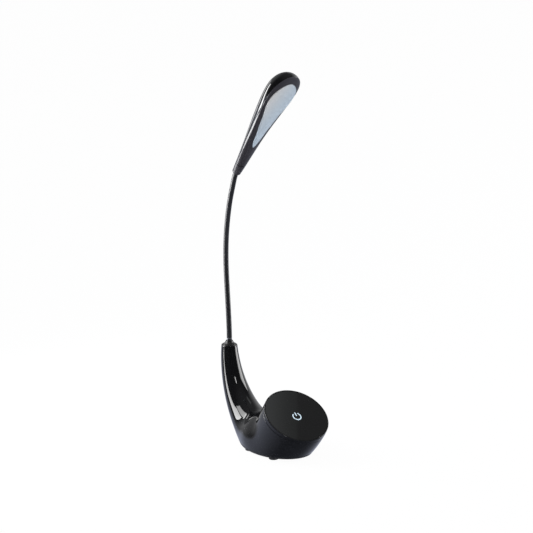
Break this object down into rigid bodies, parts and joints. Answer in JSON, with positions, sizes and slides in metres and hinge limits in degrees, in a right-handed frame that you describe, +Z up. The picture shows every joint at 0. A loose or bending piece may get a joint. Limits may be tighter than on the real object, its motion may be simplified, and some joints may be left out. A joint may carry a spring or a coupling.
{
  "type": "gooseneck desk lamp",
  "caption": "Glossy black touch desk lamp: pipe-shaped base with a sloping touch panel, thin gooseneck and teardrop LED head.",
  "frame": {"origin": "on the table under the middle of the lamp's overall length and width", "axes": "+Z up; the bowl with the touch panel and the head point to -Y; the lamp is symmetric about X = 0"},
  "size_m": [0.076, 0.1751, 0.4374],
  "materials": {
    "gloss_black": "high gloss black",
    "panel_black": "high gloss black, coated",
    "satin_black": "fine satin, dark grey",
    "matte_black": "fine matt texture",
    "neck_black": "satin silicone over a steel hose",
    "foot_rubber": "matt",
    "socket_black": "moulded, satin",
    "symbol_light": "translucent pale blue",
    "diffuser_white": "frosted, unlit",
    "tray_white": "white, diffuse",
    "board_white": "white solder mask",
    "board_green": "green solder mask",
    "led_yellow": "phosphor",
    "led_white": "clear cap",
    "spring_metal": "tinned",
    "spreader_metal": "rolled sheet",
    "screw_steel": "zinc plated",
    "iron": "sand cast"
  },
  "bodies": {
    "base": {"base_shell": "gloss_black", "panel_rim": "gloss_black", "bottom_cover": "matte_black", "ballast": "iron", "cover_screws": "screw_steel", "rubber_feet": "foot_rubber", "touch_panel": "panel_black", "power_symbol": "symbol_light", "touch_board": "board_green", "touch_pad": "spring_metal", "indicator_light": "led_white", "board_screws": "screw_steel", "power_socket": "socket_black", "neck_anchor": "screw_steel", "neck_nut": "screw_steel", "stem_collar": "gloss_black"},
    "link_01": {"gooseneck_link_01": "neck_black"},
    "link_02": {"gooseneck_link_02": "neck_black"},
    "link_03": {"gooseneck_link_03": "neck_black"},
    "link_04": {"gooseneck_link_04": "neck_black"},
    "link_05": {"gooseneck_link_05": "neck_black"},
    "link_06": {"gooseneck_link_06": "neck_black"},
    "link_07": {"gooseneck_link_07": "neck_black"},
    "link_08": {"gooseneck_link_08": "neck_black"},
    "link_09": {"gooseneck_link_09": "neck_black"},
    "link_10": {"gooseneck_link_10": "neck_black"},
    "link_11": {"gooseneck_link_11": "neck_black"},
    "link_12": {"gooseneck_link_12": "neck_black"},
    "head": {"head_shell": "gloss_black", "head_bezel": "satin_black", "neck_cover": "satin_black", "head_diffuser": "diffuser_white", "reflector_tray": "tray_white", "led_board": "board_white", "heat_spreader": "spreader_metal", "led_chips": "led_yellow", "head_ferrule": "neck_black"}
  },
  "joints": [
    {"name": "neck_00_forward", "type": "hinge", "parent": "base", "child": "link_01", "pos_m": [0, 0.0778, 0.1084], "axis": [1, 0, 0], "range_deg": [-10, 14]},
    {"name": "neck_01_sideways", "type": "hinge", "parent": "link_01", "child": "link_02", "pos_m": [0, 0.07856, 0.12505], "axis": [0, -0.9981, 0.0612], "range_deg": [-10, 10]},
    {"name": "neck_02_forward", "type": "hinge", "parent": "link_02", "child": "link_03", "pos_m": [0, 0.07984, 0.14166], "axis": [1, 0, 0], "range_deg": [-10, 14]},
    {"name": "neck_03_sideways", "type": "hinge", "parent": "link_03", "child": "link_04", "pos_m": [0, 0.08139, 0.15826], "axis": [0, -0.9958, 0.0917], "range_deg": [-10, 10]},
    {"name": "neck_04_forward", "type": "hinge", "parent": "link_04", "child": "link_05", "pos_m": [0, 0.0829, 0.17485], "axis": [1, 0, 0], "range_deg": [-10, 14]},
    {"name": "neck_05_sideways", "type": "hinge", "parent": "link_05", "child": "link_06", "pos_m": [0, 0.08402, 0.19148], "axis": [0, -0.999, 0.0453], "range_deg": [-10, 10]},
    {"name": "neck_06_forward", "type": "hinge", "parent": "link_06", "child": "link_07", "pos_m": [0, 0.08441, 0.20814], "axis": [1, 0, 0], "range_deg": [-10, 14]},
    {"name": "neck_07_sideways", "type": "hinge", "parent": "link_07", "child": "link_08", "pos_m": [0, 0.08371, 0.22479], "axis": [0, -0.997, -0.0769], "range_deg": [-10, 10]},
    {"name": "neck_08_forward", "type": "hinge", "parent": "link_08", "child": "link_09", "pos_m": [0, 0.08185, 0.24134], "axis": [1, 0, 0], "range_deg": [-10, 14]},
    {"name": "neck_09_sideways", "type": "hinge", "parent": "link_09", "child": "link_10", "pos_m": [0, 0.07888, 0.25774], "axis": [0, -0.9776, -0.2104], "range_deg": [-10, 10]},
    {"name": "neck_10_forward", "type": "hinge", "parent": "link_10", "child": "link_11", "pos_m": [0, 0.07484, 0.2739], "axis": [1, 0, 0], "range_deg": [-10, 14]},
    {"name": "neck_11_sideways", "type": "hinge", "parent": "link_11", "child": "link_12", "pos_m": [0, 0.06968, 0.28974], "axis": [0, -0.9383, -0.3458], "range_deg": [-10, 10]},
    {"name": "neck_12_forward", "type": "hinge", "parent": "link_12", "child": "head", "pos_m": [0, 0.06332, 0.30515], "axis": [1, 0, 0], "range_deg": [-10, 14]}
  ]
}
